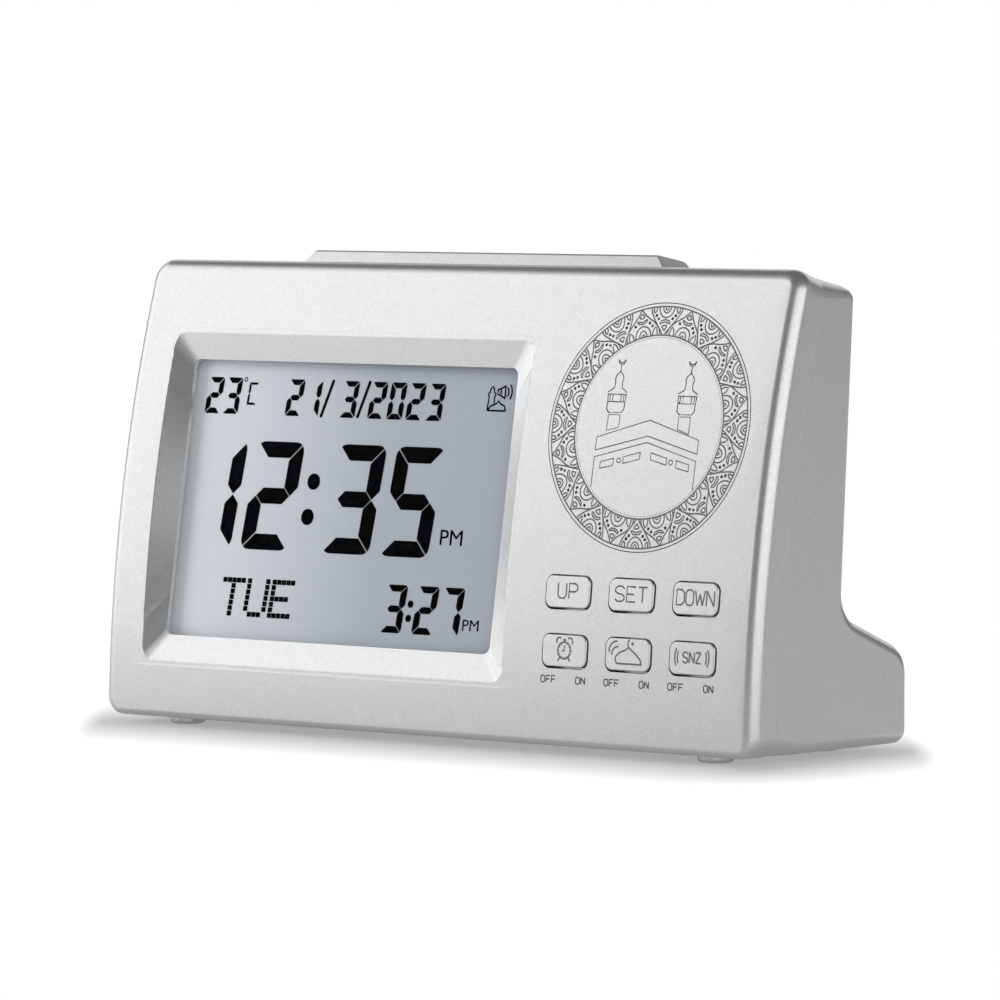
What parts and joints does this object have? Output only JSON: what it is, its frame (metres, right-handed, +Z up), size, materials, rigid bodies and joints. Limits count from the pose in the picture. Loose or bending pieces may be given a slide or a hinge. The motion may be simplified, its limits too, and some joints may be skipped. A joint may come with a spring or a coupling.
{
  "type": "azan alarm clock",
  "caption": "Silver table clock with prayer-time alarm: curved leaning face, sloping window recess, round ornament, rubber-dome keys, long snooze bar, battery base and rear speaker.",
  "frame": {"origin": "bottom centre of the clock, on the surface that the feet stand on", "axes": "+X to the right of someone facing the clock, the face looks along -Y, +Z up"},
  "size_m": [0.15, 0.0447, 0.0863],
  "materials": {
    "silver_plastic": "satin silver, fine metallic speckle",
    "foot_plastic": "satin",
    "clear_plastic": "clear acrylic",
    "display_glass": "grey reflective",
    "white_plastic": "translucent white",
    "tray_plastic": "matte",
    "strip_rubber": "striped conductive rubber",
    "circuit_board": "solder resist",
    "epoxy": "moulded",
    "plated_steel": "bright plated",
    "nickel_strip": "nickel plated",
    "grey_rubber": "matte",
    "cell_wrap": "printed film, plain",
    "speaker_metal": "pressed steel",
    "cone_paper": "paper"
  },
  "bodies": {
    "case": {"front_bezel": "silver_plastic", "rear_case": "silver_plastic", "foot_front_left": "foot_plastic", "foot_front_right": "foot_plastic", "foot_rear_left": "foot_plastic", "foot_rear_right": "foot_plastic", "window_pane": "clear_plastic", "lcd_glass": "display_glass", "light_guide": "white_plastic", "backlight_led_1": "white_plastic", "backlight_led_2": "white_plastic", "display_tray": "tray_plastic", "contact_strip": "strip_rubber", "main_board": "circuit_board", "controller_cap": "epoxy", "buffer_capacitor": "epoxy", "thermistor": "epoxy", "quartz_crystal": "plated_steel", "key_mat": "grey_rubber", "key_board": "circuit_board", "snooze_board": "circuit_board", "snooze_dome": "grey_rubber", "snooze_spring_left": "plated_steel", "snooze_spring_right": "plated_steel", "cell_front": "cell_wrap", "cell_rear": "cell_wrap", "cell_spring_front": "nickel_strip", "cell_spring_rear": "nickel_strip", "contact_bridge": "nickel_strip", "contact_positive": "nickel_strip", "contact_negative": "nickel_strip", "speaker_basket": "speaker_metal", "speaker_cone": "cone_paper", "speaker_magnet": "plated_steel", "speaker_screw_1": "plated_steel", "speaker_screw_2": "plated_steel", "case_screw_1": "plated_steel", "case_screw_2": "plated_steel", "case_screw_3": "plated_steel", "case_screw_4": "plated_steel", "display_screw_1": "plated_steel", "display_screw_2": "plated_steel", "display_screw_3": "plated_steel", "display_screw_4": "plated_steel", "key_board_screw_1": "plated_steel", "key_board_screw_2": "plated_steel"},
    "up_key": {"key_up": "silver_plastic"},
    "set_key": {"key_set": "silver_plastic"},
    "down_key": {"key_down": "silver_plastic"},
    "alarm_key": {"key_alarm": "silver_plastic"},
    "prayer_key": {"key_prayer": "silver_plastic"},
    "snooze_key": {"key_snooze_switch": "silver_plastic"},
    "top_bar": {"snooze_bar": "silver_plastic"},
    "door": {"battery_door": "silver_plastic"}
  },
  "joints": [
    {"name": "up_key_press", "type": "slide", "parent": "case", "child": "up_key", "axis": [0, 0.9934, -0.1145], "range_m": [0, 0.0008], "stiffness_N_per_m": 1200, "springref_m": -0.0003, "deforming": ["key_mat"]},
    {"name": "set_key_press", "type": "slide", "parent": "case", "child": "set_key", "axis": [0, 0.9934, -0.1145], "range_m": [0, 0.0008], "stiffness_N_per_m": 1200, "springref_m": -0.0003, "deforming": ["key_mat"]},
    {"name": "down_key_press", "type": "slide", "parent": "case", "child": "down_key", "axis": [0, 0.9934, -0.1145], "range_m": [0, 0.0008], "stiffness_N_per_m": 1200, "springref_m": -0.0003, "deforming": ["key_mat"]},
    {"name": "alarm_key_press", "type": "slide", "parent": "case", "child": "alarm_key", "axis": [0, 0.9969, -0.0787], "range_m": [0, 0.0008], "stiffness_N_per_m": 1200, "springref_m": -0.0003, "deforming": ["key_mat"]},
    {"name": "prayer_key_press", "type": "slide", "parent": "case", "child": "prayer_key", "axis": [0, 0.9969, -0.0787], "range_m": [0, 0.0008], "stiffness_N_per_m": 1200, "springref_m": -0.0003, "deforming": ["key_mat"]},
    {"name": "snooze_key_press", "type": "slide", "parent": "case", "child": "snooze_key", "axis": [0, 0.9969, -0.0787], "range_m": [0, 0.0008], "stiffness_N_per_m": 1200, "springref_m": -0.0003, "deforming": ["key_mat"]},
    {"name": "top_bar_press", "type": "slide", "parent": "case", "child": "top_bar", "axis": [0, 0, -1], "range_m": [0, 0.0012], "stiffness_N_per_m": 900, "springref_m": -0.0005, "deforming": ["snooze_dome", "snooze_spring_left", "snooze_spring_right"]},
    {"name": "battery_door_tilt", "type": "hinge", "parent": "case", "child": "door", "pos_m": [0, -0.00929, 0.0015], "axis": [-1, 0, 0], "range_deg": [0, 75]}
  ]
}
